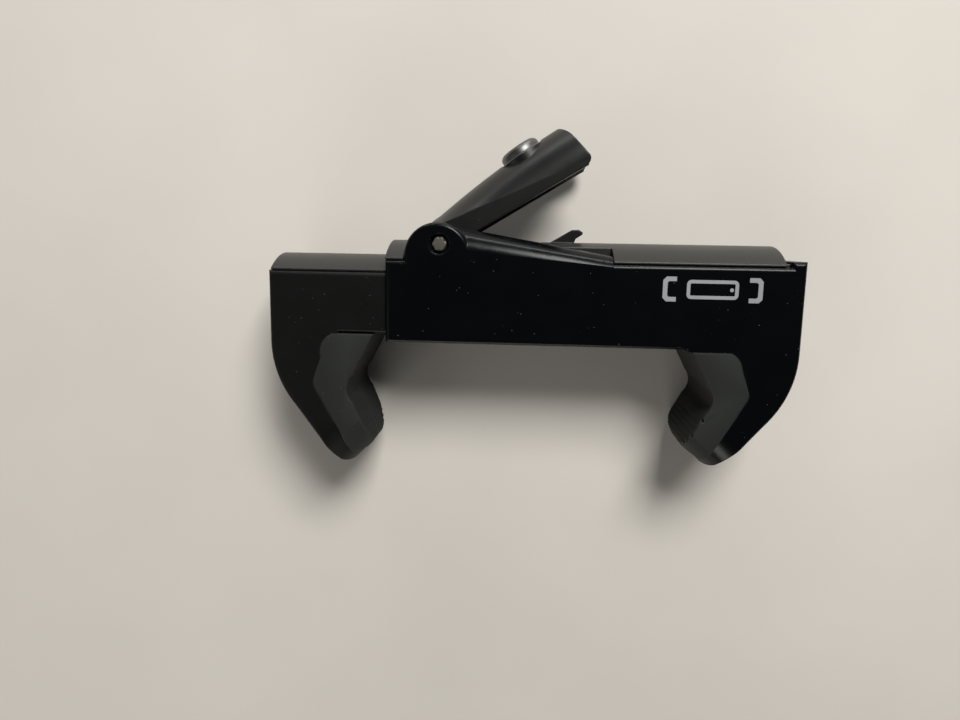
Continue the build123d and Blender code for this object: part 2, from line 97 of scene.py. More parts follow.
def at(x, y, z=0.0):
    """A point of the drawing frame in the shared frame, in metres."""
    return DRAWING_ZERO + Vector((x, y, z)) * MM


# ---------------------------------------------------------------- mesh tools

def only(piece):
    """Leaves one object selected and active."""
    bpy.ops.object.select_all(action="DESELECT")
    piece.select_set(True)
    bpy.context.view_layer.objects.active = piece


def edit(piece, mode="VERT"):
    """Opens a piece in edit mode with nothing selected."""
    only(piece)
    bpy.ops.object.mode_set(mode="EDIT")
    bpy.ops.mesh.select_mode(type=mode)
    bpy.ops.mesh.select_all(action="DESELECT")


def done():
    bpy.ops.object.mode_set(mode="OBJECT")


def pick(piece, kind, test):
    """Selects the vertices, edges or faces of the open piece that pass a test."""
    bpy.ops.mesh.select_mode(type={"verts": "VERT", "edges": "EDGE", "faces": "FACE"}[kind])
    bpy.ops.mesh.select_all(action="DESELECT")
    mesh = bmesh.from_edit_mesh(piece.data)
    for element in getattr(mesh, kind):
        element.select = test(element)
    mesh.select_flush_mode()
    bmesh.update_edit_mesh(piece.data)


def apply_place(piece):
    """Moves an object's place, turn and scale into its mesh."""
    only(piece)
    bpy.ops.object.transform_apply(location=True, rotation=True, scale=True)


def start_point(name, place):
    """A new piece of one vertex, open in edit mode with that vertex selected."""
    bpy.ops.object.select_all(action="DESELECT")
    bpy.ops.mesh.primitive_plane_add(size=MM, location=(0, 0, 0))
    piece = bpy.context.object
    piece.name = name
    bpy.ops.object.mode_set(mode="EDIT")
    bpy.ops.mesh.select_mode(type="VERT")
    bpy.ops.mesh.select_all(action="SELECT")
    bpy.ops.mesh.merge(type="CENTER")
    bpy.ops.transform.translate(value=place)
    return piece


def draw_chain(name, points):
    """A new piece drawn as a chain of edges through the points, open in edit mode."""
    piece = start_point(name, points[0])
    for before, after in zip(points, points[1:]):
        step = Vector(after) - Vector(before)
        bpy.ops.mesh.extrude_vertices_move(TRANSFORM_OT_translate={"value": step})
    bpy.ops.mesh.select_all(action="SELECT")
    return piece


def draw_prism(name, points, height):
    """A closed outline filled and extruded along Z, left open in edit mode."""
    piece = draw_chain(name, points)
    bpy.ops.mesh.edge_face_add()
    bpy.ops.mesh.extrude_region_move(TRANSFORM_OT_translate={"value": (0, 0, height)})
    bpy.ops.mesh.select_all(action="SELECT")
    bpy.ops.mesh.normals_make_consistent(inside=False)
    return piece


def modify(piece, kind, **values):
    """Adds a modifier with its values and applies it."""
    only(piece)
    modifier = piece.modifiers.new(kind.lower(), kind)
    for key, value in values.items():
        setattr(modifier, key, value)
    bpy.ops.object.modifier_apply(modifier=modifier.name)


def smooth(piece, degrees=30):
    only(piece)
    bpy.ops.object.shade_smooth_by_angle(angle=radians(degrees))


def join(name, pieces):
    """Joins several pieces into the first and names it."""
    bpy.ops.object.select_all(action="DESELECT")
    for piece in pieces:
        piece.select_set(True)
    bpy.context.view_layer.objects.active = pieces[0]
    bpy.ops.object.join()
    pieces[0].name = name
    return pieces[0]


def line(start, end, count):
    """Points of a straight run, after its first."""
    return [(start[0] + (end[0] - start[0]) * i / count, start[1] + (end[1] - start[1]) * i / count)
            for i in range(1, count + 1)]


def arc(start, middle, end, count):
    """Points of the arc through three points, after its first."""
    (ax, ay), (bx, by), (cx, cy) = start, middle, end
    double = 2 * (ax * (by - cy) + bx * (cy - ay) + cx * (ay - by))
    a, b, c = ax * ax + ay * ay, bx * bx + by * by, cx * cx + cy * cy
    ox = (a * (by - cy) + b * (cy - ay) + c * (ay - by)) / double
    oy = (a * (cx - bx) + b * (ax - cx) + c * (bx - ax)) / double
    first = atan2(ay - oy, ax - ox)
    turn = (atan2(cy - oy, cx - ox) - first) % (2 * pi)
    if (atan2(by - oy, bx - ox) - first) % (2 * pi) > turn:
        turn -= 2 * pi
    radius = hypot(ax - ox, ay - oy)
    return [(ox + radius * cos(first + turn * i / count), oy + radius * sin(first + turn * i / count))
            for i in range(1, count + 1)]


# ------------------------------------------------------------ shader tools

def add_node(tree, kind, column, row, **values):
    node = tree.nodes.new("ShaderNode" + kind)
    node.location = (column * 220, -row * 240)
    for key, value in values.items():
        setattr(node, key, value)
    return node


def feed(tree, source, node, socket):
    """Links a socket into a node's input, or sets the input when the source is a plain value."""
    target = node.inputs[socket]
    if isinstance(source, bpy.types.NodeSocket):
        tree.links.new(source, target)
    else:
        target.default_value = source


def maths(tree, column, row, operation, first, second=0.0, clamp=False):
    node = add_node(tree, "Math", column, row, operation=operation, use_clamp=clamp)
    feed(tree, first, node, 0)
    feed(tree, second, node, 1)
    return node.outputs[0]


def ramp(tree, column, row, value, low, high, to_low=0.0, to_high=1.0):
    """A smooth step of a value from one range to another."""
    node = add_node(tree, "MapRange", column, row, interpolation_type="SMOOTHSTEP")
    for socket, number in zip(range(5), (value, low, high, to_low, to_high)):
        feed(tree, number, node, socket)
    return node.outputs[0]


def noise(tree, column, row, vector, scale, detail=2.0):
    node = add_node(tree, "TexNoise", column, row)
    feed(tree, vector, node, "Vector")
    feed(tree, scale, node, "Scale")
    feed(tree, detail, node, "Detail")
    return node.outputs["Fac"]


def new_group(name, inputs, outputs):
    """A shader node group with float inputs and outputs; returns it, its input node and its output node."""
    tree = bpy.data.node_groups.new(name, "ShaderNodeTree")
    for label, default in inputs.items():
        plug = tree.interface.new_socket(label, in_out="INPUT", socket_type="NodeSocketFloat")
        plug.default_value = default
    for label, kind in outputs.items():
        tree.interface.new_socket(label, in_out="OUTPUT", socket_type="NodeSocket" + kind)
    entry = tree.nodes.new("NodeGroupInput")
    entry.location = (-900, 0)
    leave = tree.nodes.new("NodeGroupOutput")
    leave.location = (1500, 0)
    return tree, entry, leave


def millimetres(tree):
    """The object's own coordinates in millimetres."""
    place = add_node(tree, "TexCoord", -3, 0)
    scale = add_node(tree, "VectorMath", -2, 0, operation="SCALE")
    tree.links.new(place.outputs["Object"], scale.inputs[0])
    scale.inputs["Scale"].default_value = 1 / MM
    return scale.outputs[0]


def dust_group():
    """Sparse round specks: Spacing and Size in millimetres, Share of the places that hold one."""
    tree, entry, leave = new_group("dust_specks", {"Spacing": 1.6, "Size": 0.1, "Share": 0.2},
                                   {"Mask": "Float"})
    place = millimetres(tree)
    scale = maths(tree, -1, 1, "DIVIDE", 1.0, entry.outputs["Spacing"])
    cells = add_node(tree, "TexVoronoi", 0, 0)
    tree.links.new(place, cells.inputs["Vector"])
    tree.links.new(scale, cells.inputs["Scale"])
    parts = add_node(tree, "SeparateColor", 1, 1)
    tree.links.new(cells.outputs["Color"], parts.inputs[0])
    kept = maths(tree, 2, 1, "LESS_THAN", parts.outputs[0], entry.outputs["Share"])
    sizes = maths(tree, 1, 2, "ADD", parts.outputs[1], 0.3)
    reach = maths(tree, 2, 2, "MULTIPLY", entry.outputs["Size"], sizes)
    away = maths(tree, 1, 0, "MULTIPLY", cells.outputs["Distance"], entry.outputs["Spacing"])
    core = maths(tree, 2, 3, "MULTIPLY", reach, 0.45)
    near = ramp(tree, 3, 0, away, core, reach, 1.0, 0.0)
    tree.links.new(maths(tree, 4, 0, "MULTIPLY", near, kept), leave.inputs["Mask"])
    return tree


def edge_group():
    """Where the surface turns over an edge: Radius in metres; also gives the softened normal."""
    tree, entry, leave = new_group("edge_wear", {"Radius": 0.0003, "Patchiness": 0.5},
                                   {"Mask": "Float", "Normal": "Vector"})
    soft = add_node(tree, "Bevel", -2, 1, samples=6)
    tree.links.new(entry.outputs["Radius"], soft.inputs["Radius"])
    plain = add_node(tree, "NewGeometry", -2, 2)
    turn = add_node(tree, "VectorMath", -1, 1, operation="DOT_PRODUCT")
    tree.links.new(soft.outputs[0], turn.inputs[0])
    tree.links.new(plain.outputs["Normal"], turn.inputs[1])
    bent = ramp(tree, 0, 1, turn.outputs["Value"], 0.995, 0.9, 0.0, 1.0)
    patches = ramp(tree, 0, 0, noise(tree, -1, 0, millimetres(tree), 0.7, 3.0), 0.35, 0.65)
    gaps = maths(tree, 1, 2, "MULTIPLY", entry.outputs["Patchiness"], patches)
    uneven = maths(tree, 1, 0, "SUBTRACT", 1.0, gaps)
    tree.links.new(maths(tree, 2, 1, "MULTIPLY", bent, uneven), leave.inputs["Mask"])
    tree.links.new(soft.outputs[0], leave.inputs["Normal"])
    return tree


def grain_group():
    """Moulded grain: Size in millimetres; Height for the bump and a slow Tone for colour and roughness."""
    tree, entry, leave = new_group("moulded_grain", {"Size": 0.2}, {"Height": "Float", "Tone": "Float"})
    place = millimetres(tree)
    scale = maths(tree, -1, 1, "DIVIDE", 1.0, entry.outputs["Size"])
    tree.links.new(noise(tree, 0, 0, place, scale, 3.0), leave.inputs["Height"])
    tree.links.new(noise(tree, 0, 1, place, 0.16, 4.0), leave.inputs["Tone"])
    return tree


def scratch_group():
    """Thin stray scratches; Share sets how many show."""
    tree, entry, leave = new_group("hairline_scratches", {"Share": 0.3}, {"Mask": "Float"})
    place = millimetres(tree)
    total = None
    for row, (turn, stretch) in enumerate(((0.5, 9.0), (-0.9, 12.0))):
        mapping = add_node(tree, "Mapping", -1, row)
        tree.links.new(place, mapping.inputs["Vector"])
        mapping.inputs["Rotation"].default_value = (0.0, 0.0, turn)
        mapping.inputs["Scale"].default_value = (1 / stretch, 1.0, 0.6)
        waves = noise(tree, 0, row, mapping.outputs[0], 2.4, 1.0)
        thin = maths(tree, 1, row, "ABSOLUTE", maths(tree, 1, row, "SUBTRACT", waves, 0.5))
        mark = ramp(tree, 2, row, thin, 0.0008, 0.003, 1.0, 0.0)
        total = mark if total is None else maths(tree, 3, row, "MAXIMUM", total, mark)
    patches = noise(tree, 0, 3, place, 0.35, 1.0)
    limit = maths(tree, 1, 4, "SUBTRACT", 0.78, maths(tree, 0, 4, "MULTIPLY", entry.outputs["Share"], 0.3))
    shown = ramp(tree, 2, 4, patches, limit, maths(tree, 1, 5, "ADD", limit, 0.05))
    tree.links.new(maths(tree, 4, 0, "MULTIPLY", total, shown), leave.inputs["Mask"])
    return tree


def place_group(tree, group, column, row, **values):
    node = add_node(tree, "Group", column, row, node_tree=group)
    for key, value in values.items():
        node.inputs[key].default_value = value
    return node


def mix_colour(tree, column, row, factor, first, second):
    node = add_node(tree, "Mix", column, row, data_type="RGBA")
    feed(tree, factor, node, 0)
    feed(tree, first, node, 6)
    feed(tree, second, node, 7)
    return node.outputs[2]


def rgba(colour, factor=1.0):
    return (colour[0] * factor, colour[1] * factor, colour[2] * factor, 1.0)


GROUPS = {}


def finish_material(name, colour, roughness, metal=0.0, specular=0.5, grain=(0.2, 0.00001), wear=0.5,
                    wear_tint=4.0, dust=(0.45, 0.075, 0.06), scratches=0.3, uneven=0.02, radius=0.0003):
    """A finish with grain, uneven gloss, lighter worn edges, dust and stray scratches."""
    material = bpy.data.materials.new(name)
    material.use_nodes = True
    tree = material.node_tree
    shader = tree.nodes["Principled BSDF"]
    shader.location = (1500, 0)
    shader.inputs["Metallic"].default_value = metal
    shader.inputs["Specular IOR Level"].default_value = specular
    surface = place_group(tree, GROUPS["grain"], 0, 0, Size=grain[0])
    edges = place_group(tree, GROUPS["edge"], 0, 1, Radius=radius)
    specks = place_group(tree, GROUPS["dust"], 0, 2, Spacing=dust[0], Size=dust[1], Share=dust[2])
    lines = place_group(tree, GROUPS["scratch"], 0, 3, Share=scratches)
    tone = ramp(tree, 1, 0, surface.outputs["Tone"], 0.3, 0.7)
    base = mix_colour(tree, 2, 0, tone, rgba(colour, 0.95), rgba(colour, 1.06))
    worn = maths(tree, 2, 1, "MULTIPLY", edges.outputs["Mask"], wear)
    base = mix_colour(tree, 3, 0, worn, base, rgba(colour, wear_tint))
    scratched = maths(tree, 3, 2, "MULTIPLY", lines.outputs["Mask"], 0.5)
    base = mix_colour(tree, 4, 0, scratched, base, rgba(colour, 2.5))
    dusty = maths(tree, 4, 2, "MULTIPLY", specks.outputs["Mask"], 0.4)
    base = mix_colour(tree, 5, 0, dusty, base, DUST_COLOUR)
    tree.links.new(base, shader.inputs["Base Color"])
    gloss = ramp(tree, 2, 3, surface.outputs["Tone"], 0.3, 0.7, roughness - uneven, roughness + uneven)
    dull = maths(tree, 3, 4, "MULTIPLY", dusty, 0.3)
    gloss = maths(tree, 3, 3, "ADD", gloss, dull, clamp=True)
    tree.links.new(gloss, shader.inputs["Roughness"])
    bump = add_node(tree, "Bump", 3, 5)
    bump.inputs["Strength"].default_value = 1.0
    bump.inputs["Distance"].default_value = grain[1]
    tree.links.new(surface.outputs["Height"], bump.inputs["Height"])
    tree.links.new(edges.outputs["Normal"], bump.inputs["Normal"])
    tree.links.new(bump.outputs[0], shader.inputs["Normal"])
    return material


def dress(piece, material):
    """Gives a piece one material."""
    piece.data.materials.clear()
    piece.data.materials.append(material)


# ------------------------------------------------------------ what a user can change

class ClampSizes(bpy.types.PropertyGroup):
    """Sizes of the detailed pieces."""
    rib_pitch: FloatProperty(name="Rib pitch", description="Distance between the fine ribs of a grip",
                             default=1.05 * MM, unit="LENGTH", precision=5)
    rib_height: FloatProperty(name="Rib height", description="How far the fine ribs stand out",
                              default=0.15 * MM, unit="LENGTH", precision=5)
    tooth_pitch: FloatProperty(name="Tooth pitch", description="Distance between the cross teeth of a grip",
                               default=0.95 * MM, unit="LENGTH", precision=5)
    tooth_height: FloatProperty(name="Tooth height", description="Depth of the cross teeth of a grip",
                                default=0.07 * MM, unit="LENGTH", precision=5)
    rim: FloatProperty(name="Grip rim", description="Rounded rim of a grip's flanks",
                       default=0.16 * MM, unit="LENGTH", precision=5)
    coil_radius: FloatProperty(name="Coil radius", description="Outer radius of a jaw spring",
                               default=2.0 * MM, unit="LENGTH", precision=5)
    wire_radius: FloatProperty(name="Wire radius", description="Wire radius of a jaw spring",
                               default=0.33 * MM, unit="LENGTH", precision=5)
    coil_turns: IntProperty(name="Coil turns", description="Turns of a jaw spring", default=76, min=4)
    thread_pitch: FloatProperty(name="Thread pitch", description="Pitch of the tripod thread",
                                default=1.27 * MM, unit="LENGTH", precision=5)
    mark_width: FloatProperty(name="Mark width", description="Width of the printed mark",
                              default=15.4 * MM, unit="LENGTH", precision=5)
    mark_height: FloatProperty(name="Mark height", description="Height of the printed mark",
                               default=3.9 * MM, unit="LENGTH", precision=5)


def colour_property(name, description, default):
    return FloatVectorProperty(name=name, description=description, default=default, subtype="COLOR",
                               size=3, min=0.0, max=1.0)


class ClampColours(bpy.types.PropertyGroup):
    """Colours of the finishes."""
    body: colour_property("Body", "Satin black of the body", (0.0018, 0.0021, 0.0027))
    cover: colour_property("Cover", "Satin paint of the crowned backs", (0.012, 0.012, 0.011))
    jaw: colour_property("Jaw", "Matte black of the sliding jaw", (0.0050, 0.0048, 0.0047))
    arm: colour_property("Arm", "Black of the folding arm and its catch", (0.0045, 0.0045, 0.0043))
    rubber: colour_property("Rubber", "Grey rubber of the grips", (0.018, 0.0198, 0.0175))
    steel: colour_property("Steel", "Bright steel of the small fittings", (0.55, 0.54, 0.52))
    pin: colour_property("Pin", "Pale plated pivot pin", (0.60, 0.56, 0.45))
    screws: colour_property("Screws", "Blackened steel of the screws", (0.09, 0.09, 0.095))
    springs: colour_property("Springs", "Spring wire", (0.36, 0.36, 0.35))
    socket: colour_property("Socket", "Plated metal of the tripod socket", (0.16, 0.158, 0.152))
    mark: colour_property("Mark", "Ink of the printed mark", (0.34, 0.355, 0.37))
    floor: colour_property("Floor", "Pale floor", (0.80, 0.755, 0.685))


# ------------------------------------------------------------ operators

class CLAMP_OT_finishes(bpy.types.Operator):
    """Makes the shared shader groups and gives every CAD node its finish"""
    bl_idname = "clamp.finishes"
    bl_label = "Finish CAD pieces"

    def execute(self, context):
        paint = context.scene.clamp_colours
        GROUPS.update(dust=dust_group(), edge=edge_group(), grain=grain_group(), scratch=scratch_group())
        finishes = {
            "body_black": finish_material("body_black", paint.body, 0.22, specular=0.20,
                                          grain=(0.14, 0.000002), wear=0.7, wear_tint=9.0, radius=0.00025),
            "cover_black": finish_material("cover_black", paint.cover, 0.40, specular=0.55,
                                           grain=(0.1, 0.000003), wear=0.35, wear_tint=3.0,
                                           dust=(0.5, 0.07, 0.03)),
            "jaw_black": finish_material("jaw_black", paint.jaw, 0.42, specular=0.22, grain=(0.16, 0.000006),
                                         wear=0.6, wear_tint=5.0, dust=(0.5, 0.08, 0.10)),
            "arm_black": finish_material("arm_black", paint.arm, 0.36, specular=0.5, grain=(0.13, 0.000003),
                                         wear=0.6, wear_tint=5.0, dust=(0.5, 0.08, 0.05)),
            "pin_metal": finish_material("pin_metal", paint.pin, 0.30, metal=1.0, wear=0.4, wear_tint=1.3,
                                         grain=(0.3, 0.00001), dust=(0.6, 0.05, 0.15), radius=0.0001),
            "steel": finish_material("steel", paint.steel, 0.28, metal=1.0, wear=0.3, wear_tint=1.3,
                                     radius=0.0001, dust=(0.8, 0.05, 0.1)),
            "steel_dark": finish_material("steel_dark", paint.screws, 0.35, metal=1.0, wear=0.6,
                                          wear_tint=3.0, radius=0.0001, dust=(0.8, 0.05, 0.1)),
        }
        default = {"socket_metal": "steel", "spring_steel": "steel", "pad_rubber": "jaw_black"}
        for part in frame["record"]["subparts"]:
            slot = part["material_slot"]
            dress(frame["nodes"][part["node"]], finishes[default.get(slot, slot)])
        return {"FINISHED"}


def grip_inner(corner, top, extra):
    """The phone side of a grip, from its top corner down the V, round the nose to the back of the tip."""
    nose = -16.0 - extra
    runs = [[(corner, top)], line((corner, top), (29.1, -6.0), 10)]
    runs.append(arc((29.1, -6.0), VALLEY, (28.9, -10.5), 12))
    runs.append(line((28.9, -10.5), (26.3, nose + 0.6), 30))
    runs.append(arc((26.3, nose + 0.6), (26.1, nose - 0.3), (26.6, nose - 1.2), 6))
    runs.append(arc((26.6, nose - 1.2), (27.8, nose - 2.2), (29.4, nose - 2.2), 12))
    return [point for run in runs for point in run]


def grip_back(top):
    """The side of a grip that sits in the jaw, from the tip up to the top corner."""
    runs = [[(31.2, -15.4), (33.7, -11.0), (35.1, -8.4)], arc((35.1, -8.4), (35.55, -7.1), (35.3, -6.1), 4)]
    runs.append([(34.2, -2.9)])
    runs.append(arc((34.2, -2.9), (33.5, top - 0.9), (32.2, top), 6))
    return [point for run in runs for point in run]


def make_tip_cutter(side, half, round_length, reach, mid_z):
    """A bar with a rounded end, which rounds off the corners at the tip of a grip."""
    centre = reach - round_length
    points = [(centre - 60, -half), (centre, -half)]
    for turn in range(-31, 33):
        angle = turn * pi / 64
        points.append((centre + round_length * cos(angle), half * sin(angle)))
    points.append((centre - 60, half))
    cutter = draw_prism("tip_cutter", [Vector((x, y, -60)) * MM for x, y in points], 120 * MM)
    done()
    along = Vector((side * cos(radians(225)), sin(radians(225)), 0))
    up = Vector((0, 0, 1))
    turn = Matrix((along, up, along.cross(up))).transposed().to_4x4()
    cutter.matrix_world = Matrix.Translation(at(0, 0, mid_z)) @ turn
    apply_place(cutter)
    edit(cutter)
    bpy.ops.mesh.select_all(action="SELECT")
    bpy.ops.mesh.normals_make_consistent(inside=False)
    done()
    return cutter


def make_grip(name, side, corner, top, extra, half, round_length, dimples, sizes):
    """A rubber grip: V profile, rounded rims, fine ribs, cross teeth, dimples and a rounded tip."""
    inner = grip_inner(corner, top, extra)
    mid_z = THICKNESS / 2
    outline = [at(side * x, y, mid_z - half) for x, y in inner + grip_back(top)]
    grip = draw_prism(name, outline, 2 * half * MM)
    z_low = at(0, 0, mid_z - half).z
    z_high = z_low + 2 * half * MM
    rim = sizes.rim

    def on_flank(edge):
        heights = [vertex.co.z for vertex in edge.verts]
        return max(heights) - min(heights) < 1e-6

    pick(grip, "edges", on_flank)
    bpy.ops.mesh.bevel(offset=rim, segments=2, affect="EDGES")
    cuts = max(20, int(ceil(2 * half * MM / sizes.rib_pitch * ROWS_PER_RIB)))

    def along_thickness(edge):
        return abs(edge.verts[0].co.z - edge.verts[1].co.z) > half * MM

    pick(grip, "edges", along_thickness)
    bpy.ops.mesh.subdivide(number_cuts=cuts)
    lengths = [0.0]
    for before, after in zip(inner, inner[1:]):
        lengths.append(lengths[-1] + hypot(after[0] - before[0], after[1] - before[1]))
    spots = [at(side * x, y) for x, y in inner]
    deepest = min(inner, key=lambda point: hypot(point[0] - VALLEY[0], point[1] - VALLEY[1]))
    valley = lengths[inner.index(deepest)]
    end = lengths[-1]

    def gap_to(index, place):
        return hypot(spots[index].x - place.x, spots[index].y - place.y)

    def distance_of(place):
        best = min(range(len(spots)), key=lambda index: gap_to(index, place))
        return lengths[best] if gap_to(best, place) < 0.02 * MM else None

    mesh = bmesh.from_edit_mesh(grip.data)
    travelled = {}
    for vertex in mesh.verts:
        if z_low + rim * 1.2 < vertex.co.z < z_high - rim * 1.2:
            travelled[vertex.index] = distance_of(vertex.co)
    step = 2 * half * MM / cuts
    margin = 0.7 * MM

    def rib_part(vertex):
        length = travelled.get(vertex.index)
        if length is None or not valley + 0.5 < length < end - 1.8:
            return None
        if not z_low + margin < vertex.co.z < z_high - margin:
            return None
        return int(round((vertex.co.z - z_low) / step)) % ROWS_PER_RIB

    pick(grip, "verts", lambda vertex: rib_part(vertex) == 0)
    bpy.ops.transform.shrink_fatten(value=-sizes.rib_height)
    pitch = sizes.tooth_pitch / MM
    for level, low, high in ((0.25, 0.15, 0.45), (0.6, 0.45, 0.8), (1.0, 0.8, 2.0)):
        def tooth_part(vertex, low=low, high=high):
            length = travelled.get(vertex.index)
            if length is None or not valley + 3.6 < length < end - 0.8:
                return False
            depth = 0.5 - 0.5 * cos(2 * pi * (length - valley) / pitch)
            return low < depth <= high

        pick(grip, "verts", tooth_part)
        bpy.ops.transform.shrink_fatten(value=-sizes.tooth_height * level)
    done()
    cutter = make_tip_cutter(side, half, round_length, TIP_REACH + extra, mid_z)
    modify(grip, "BOOLEAN", operation="INTERSECT", solver="EXACT", object=cutter)
    bpy.data.objects.remove(cutter)
    for x, y, z in dimples:
        bpy.ops.object.select_all(action="DESELECT")
        bpy.ops.mesh.primitive_uv_sphere_add(segments=16, ring_count=10, radius=DIMPLE_RADIUS * MM,
                                             location=at(side * x, y, z))
        ball = bpy.context.object
        ball.scale = (1.0, 1.0, 1.3)
        apply_place(ball)
        modify(grip, "BOOLEAN", operation="DIFFERENCE", solver="EXACT", object=ball)
        bpy.data.objects.remove(ball)
    smooth(grip, 32)
    return grip


class CLAMP_OT_grips(bpy.types.Operator):
    """Models the two rubber grips with their ribs, teeth and rounded tips"""
    bl_idname = "clamp.grips"
    bl_label = "Rubber grips"

    def execute(self, context):
        sizes = context.scene.clamp_sizes
        rubber = finish_material("pad_rubber", context.scene.clamp_colours.rubber, 0.72, specular=0.35,
                                 grain=(0.12, 0.00001), wear=0.9, wear_tint=3.6,
                                 dust=(0.5, 0.07, 0.12), scratches=0.0, radius=0.0002)
        slim = THICKNESS / 2 - JAW_RECESS
        rows = (("fixed_jaw_grip", 1, 26.2, -0.3, 0.0, THICKNESS / 2, 2.8, "fixed_jaw_pad", "body"),
                ("sliding_jaw_grip", -1, 25.3, 1.1, TIP_EXTRA, slim, 5.5, "sliding_jaw_pad", "slider"))
        for name, side, corner, top, extra, half, round_length, node, body in rows:
            dimples = DIMPLES if body == "body" else ()
            grip = make_grip(name, side, corner, top, extra, half, round_length, dimples, sizes)
            dress(grip, rubber)
            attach(grip, body)
            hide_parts(node)
        return {"FINISHED"}


def make_coil(name, start, length, radius, wire, turns, steps=12):
    """An open coil along X with closed wire ends."""
    bpy.ops.object.select_all(action="DESELECT")
    bpy.ops.mesh.primitive_circle_add(vertices=8, radius=wire, fill_type="NOTHING",
                                      location=(radius - wire, 0, 0), rotation=(pi / 2, 0, 0))
    coil = bpy.context.object
    coil.name = name
    apply_place(coil)
    modify(coil, "SCREW", angle=2 * pi, iterations=turns, screw_offset=(length - 2 * wire) / turns,
           steps=steps, render_steps=steps, axis="Z")
    edit(coil)
    bpy.ops.mesh.select_non_manifold()
    bpy.ops.mesh.fill_holes(sides=0)
    bpy.ops.mesh.select_all(action="SELECT")
    bpy.ops.mesh.normals_make_consistent(inside=False)
    done()
    coil.rotation_euler = (0, pi / 2, 0)
    coil.location = Vector(start) + Vector((wire, 0, 0))
    apply_place(coil)
    smooth(coil, 60)
    return coil


def make_hook(name, centre, radius, wire):
    """The end loop of a jaw spring round its anchor pin."""
    bpy.ops.object.select_all(action="DESELECT")
    bpy.ops.mesh.primitive_torus_add(major_segments=28, minor_segments=8, major_radius=radius,
                                     minor_radius=wire, location=centre)
    hook = bpy.context.object
    hook.name = name
    apply_place(hook)
    smooth(hook, 60)
    return hook


class CLAMP_OT_jaw_springs(bpy.types.Operator):
    """Winds the two long extension springs between the anchor pins of the jaws"""
    bl_idname = "clamp.jaw_springs"
    bl_label = "Jaw springs"

    def execute(self, context):
        sizes = context.scene.clamp_sizes
        steel = finish_material("spring_steel", context.scene.clamp_colours.springs, 0.3, metal=1.0, wear=0.0,
                                dust=(0.8, 0.04, 0.1), radius=0.0001)
        fixed = sum(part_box("fixed_anchor_pin"), Vector()) / 2
        moving = sum(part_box("moving_anchor_pin"), Vector()) / 2
        for node in ("jaw_spring_near", "jaw_spring_far"):
            low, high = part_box(node)
            z = (low.z + high.z) / 2
            loop = 1.25 * MM
            first = moving.x + loop + sizes.wire_radius
            last = fixed.x - loop - sizes.wire_radius
            wire = sizes.wire_radius
            coil = make_coil("coil", (first, moving.y, z), last - first, sizes.coil_radius, wire,
                             sizes.coil_turns)
            hooks = [make_hook("hook", (x, moving.y, z), loop, wire) for x in (moving.x, fixed.x)]
            spring = join(node + "_coil", [coil] + hooks)
            dress(spring, steel)
            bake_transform(spring)
            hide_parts(node)
        return {"FINISHED"}


class CLAMP_OT_catch_spring(bpy.types.Operator):
    """Winds the small spring behind the arm catch"""
    bl_idname = "clamp.catch_spring"
    bl_label = "Catch spring"

    def execute(self, context):
        low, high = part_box("catch_spring")
        centre = (low + high) / 2
        coil = make_coil("catch_spring_coil", (low.x, centre.y, centre.z), high.x - low.x,
                         (high.z - low.z) / 2, wire=0.18 * MM, turns=7, steps=16)
        dress(coil, bpy.data.materials["spring_steel"])
        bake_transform(coil)
        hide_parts("catch_spring")
        return {"FINISHED"}


def spin_profile(name, profile, steps):
    """Turns a profile of (radius, height) pairs round the Z axis into a closed ring."""
    ring = profile + profile[:1]
    piece = draw_chain(name, [Vector((radius, 0, height)) * MM for radius, height in ring])
    bpy.ops.mesh.spin(steps=steps, angle=2 * pi, center=(0, 0, 0), axis=(0, 0, 1))
    bpy.ops.mesh.select_all(action="SELECT")
    bpy.ops.mesh.remove_doubles(threshold=0.002 * MM)
    bpy.ops.mesh.normals_make_consistent(inside=False)
    done()
    return piece


class CLAMP_OT_tripod_socket(bpy.types.Operator):
    """Turns the flanged tripod insert with its raised collar and thread"""
    bl_idname = "clamp.tripod_socket"
    bl_label = "Tripod socket"

    def execute(self, context):
        sizes = context.scene.clamp_sizes
        insert = spin_profile("tripod_socket_threaded", SOCKET_PROFILE, 96)
        ring = THREAD_PROFILE + THREAD_PROFILE[:1]
        thread = draw_chain("thread", [Vector((radius, 0, height + THREAD_START)) * MM
                                       for radius, height in ring])
        bpy.ops.mesh.remove_doubles(threshold=0.002 * MM)
        done()
        modify(thread, "SCREW", angle=2 * pi, iterations=1, screw_offset=sizes.thread_pitch, steps=48,
               render_steps=48, axis="Z")
        edit(thread)
        bpy.ops.mesh.select_non_manifold()
        bpy.ops.mesh.fill_holes(sides=0)
        bpy.ops.mesh.select_all(action="SELECT")
        bpy.ops.mesh.normals_make_consistent(inside=False)
        done()
        socket = join("tripod_socket_threaded", [insert, thread])
        upright = Euler((-pi / 2, 0, 0)).to_matrix().to_4x4()
        on_arm = Matrix.Translation((SOCKET_ALONG * MM, 0, 0)) @ upright
        on_pivot = Matrix.Translation(at(*PIVOT_DRAWN)) @ Matrix.Rotation(ARM_OPEN, 4, "Z")
        socket.matrix_world = on_pivot @ on_arm
        apply_place(socket)
        smooth(socket, 28)
        plated = finish_material("socket_metal", context.scene.clamp_colours.socket, 0.42, metal=1.0,
                                 wear=0.25, wear_tint=1.3, grain=(0.25, 0.000004),
                                 dust=(0.7, 0.05, 0.15), radius=0.0001)
        dress(socket, plated)
        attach(socket, "arm")
        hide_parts("tripod_socket")
        return {"FINISHED"}


